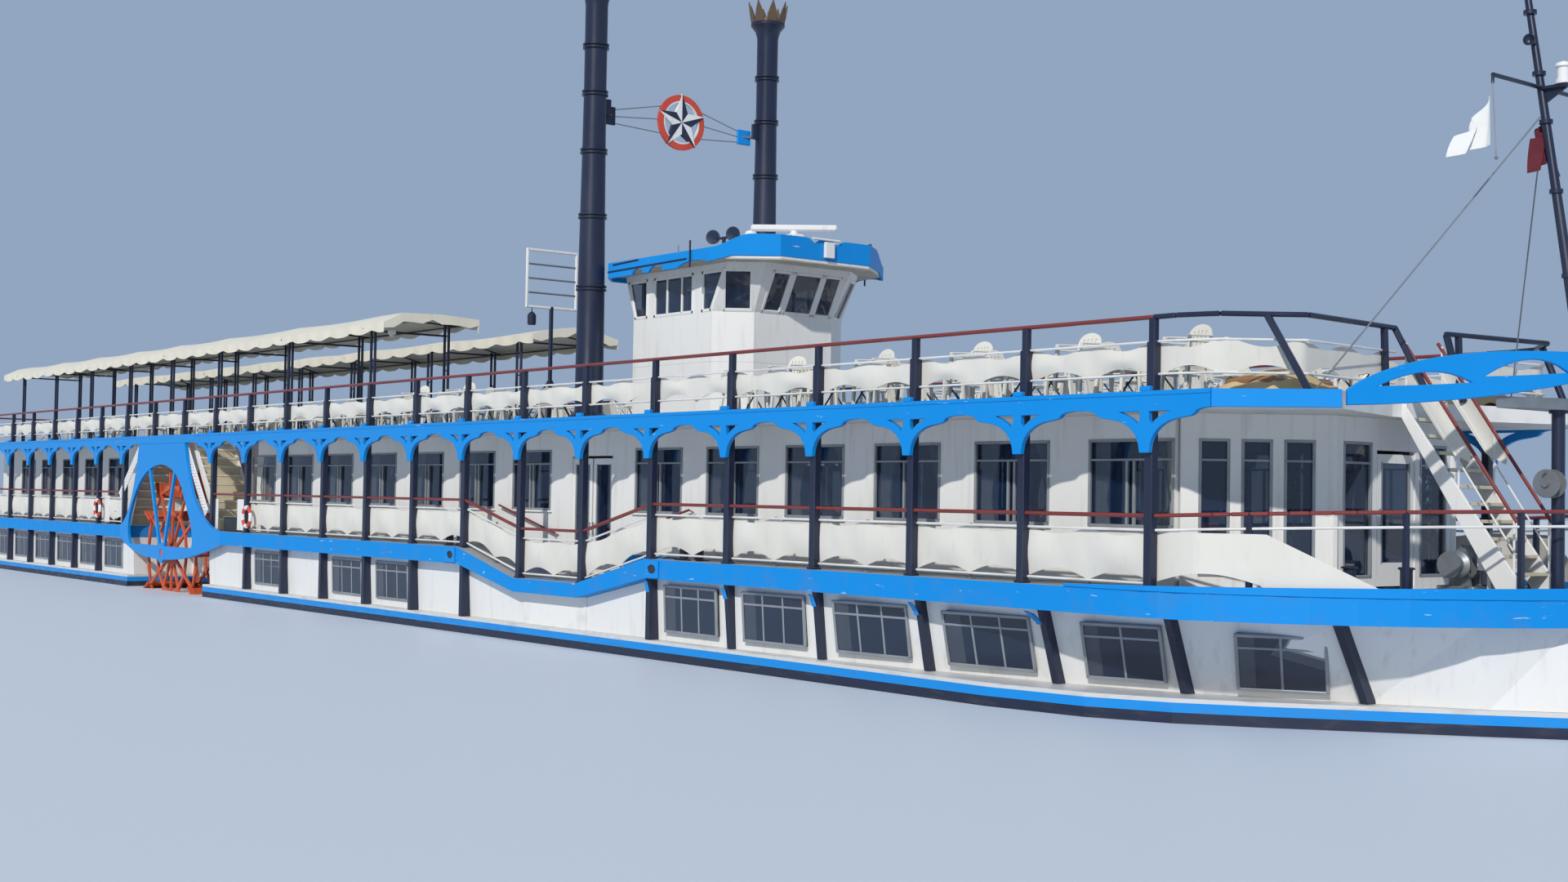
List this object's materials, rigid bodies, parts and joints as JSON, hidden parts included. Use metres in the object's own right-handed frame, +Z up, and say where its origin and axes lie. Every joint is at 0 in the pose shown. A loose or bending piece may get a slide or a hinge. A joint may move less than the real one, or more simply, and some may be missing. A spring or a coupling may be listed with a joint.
{
  "type": "scale model of a paddle steamer",
  "caption": "1:10 scale model of a flat-bottomed excursion boat with two side paddle wheels, two tall stacks, a pilothouse, arcaded decks and long cloth awnings",
  "frame": {"origin": "centre of the model's length and beam, at the flat bottom", "axes": "+X to the bow, +Y to port, +Z up"},
  "size_m": [6.72, 0.8806, 1.6454],
  "materials": {
    "white": "satin white paint",
    "blue": "satin bright blue paint",
    "navy": "satin blue-black paint",
    "red": "satin orange-red paint",
    "rail_cloth": "matt off-white canvas",
    "awning_cloth": "matt cream canvas",
    "grey": "satin grey paint"
  },
  "bodies": {
    "ship": {"arcade_port": "blue", "arcade_starboard": "blue", "awning_frame_port": "white", "awning_frame_starboard": "white", "awning_port": "awning_cloth", "awning_starboard": "awning_cloth", "boarding_landing": "blue", "bow_board": "blue", "bow_mast": "navy", "bow_stair": "white", "helm": "grey", "hull": "navy", "lower_house_aft": "white", "lower_house_fore": "white", "main_deck_aft": "blue", "main_deck_fore": "blue", "pilothouse_base": "white", "pilothouse_roof": "blue", "pilothouse_walls": "white", "promenade_port_aft": "navy", "promenade_port_fore": "navy", "promenade_starboard_aft": "navy", "promenade_starboard_fore": "navy", "radar_post": "white", "rail_cloth_port_aft": "rail_cloth", "rail_cloth_port_fore": "rail_cloth", "rail_cloth_starboard_aft": "rail_cloth", "rail_cloth_starboard_fore": "rail_cloth", "saloon_front": "white", "saloon_port": "white", "saloon_starboard": "white", "saloon_stern": "white", "searchlight_port": "grey", "searchlight_starboard": "grey", "signal_frame": "white", "stack_port": "navy", "stack_starboard": "navy", "stair_port_aft": "white", "stair_port_fore": "white", "stair_starboard_aft": "white", "stair_starboard_fore": "white", "star_ornament": "white", "upper_cloth_port": "rail_cloth", "upper_cloth_starboard": "rail_cloth", "upper_deck": "white", "upper_rail_port": "navy", "upper_rail_starboard": "navy", "wheel_frame_port": "blue", "wheel_frame_starboard": "blue", "windlass": "grey"},
    "wheel_starboard": {"wheel_starboard": "red"},
    "wheel_port": {"wheel_port": "red"},
    "radar_scanner": {"radar_scanner": "white"},
    "rudder": {"rudder": "navy"},
    "front_door": {"front_door": "white"},
    "pilothouse_door": {"pilothouse_door": "white"},
    "boarding_door_starboard_fore": {"boarding_door_starboard_fore": "white"},
    "boarding_door_starboard_aft": {"boarding_door_starboard_aft": "white"},
    "boarding_door_port_fore": {"boarding_door_port_fore": "white"},
    "boarding_door_port_aft": {"boarding_door_port_aft": "white"}
  },
  "joints": [
    {"name": "wheel_starboard_turn", "type": "hinge", "parent": "ship", "child": "wheel_starboard", "pos_m": [-0.93, -0.42, 0.265], "axis": [0, 1, 0], "continuous": true},
    {"name": "wheel_port_turn", "type": "hinge", "parent": "ship", "child": "wheel_port", "pos_m": [-0.93, 0.42, 0.265], "axis": [0, 1, 0], "continuous": true},
    {"name": "radar_turn", "type": "hinge", "parent": "ship", "child": "radar_scanner", "pos_m": [1.58, 0, 1.028], "axis": [0, 0, 1], "continuous": true},
    {"name": "rudder_turn", "type": "hinge", "parent": "ship", "child": "rudder", "pos_m": [-3.16, 0, 0.07], "axis": [0, 0, 1], "range_deg": [-35, 35]},
    {"name": "boarding_door_starboard_fore_swing", "type": "hinge", "parent": "ship", "child": "boarding_door_starboard_fore", "pos_m": [1.39485, -0.32215, 0.31], "axis": [0, 0, 1], "range_deg": [0, 90]},
    {"name": "boarding_door_starboard_aft_swing", "type": "hinge", "parent": "ship", "child": "boarding_door_starboard_aft", "pos_m": [1.23515, -0.32215, 0.31], "axis": [0, 0, -1], "range_deg": [0, 90]},
    {"name": "boarding_door_port_fore_swing", "type": "hinge", "parent": "ship", "child": "boarding_door_port_fore", "pos_m": [1.39485, 0.32215, 0.31], "axis": [0, 0, -1], "range_deg": [0, 90]},
    {"name": "boarding_door_port_aft_swing", "type": "hinge", "parent": "ship", "child": "boarding_door_port_aft", "pos_m": [1.23515, 0.32215, 0.31], "axis": [0, 0, 1], "range_deg": [0, 90]},
    {"name": "front_door_swing", "type": "hinge", "parent": "ship", "child": "front_door", "pos_m": [3.04285, 0.04885, 0.37], "axis": [0, 0, -1], "range_deg": [0, 90]},
    {"name": "pilothouse_door_swing", "type": "hinge", "parent": "ship", "child": "pilothouse_door", "pos_m": [1.23485, 0.03885, 0.78], "axis": [0, 0, -1], "range_deg": [0, 90]}
  ]
}
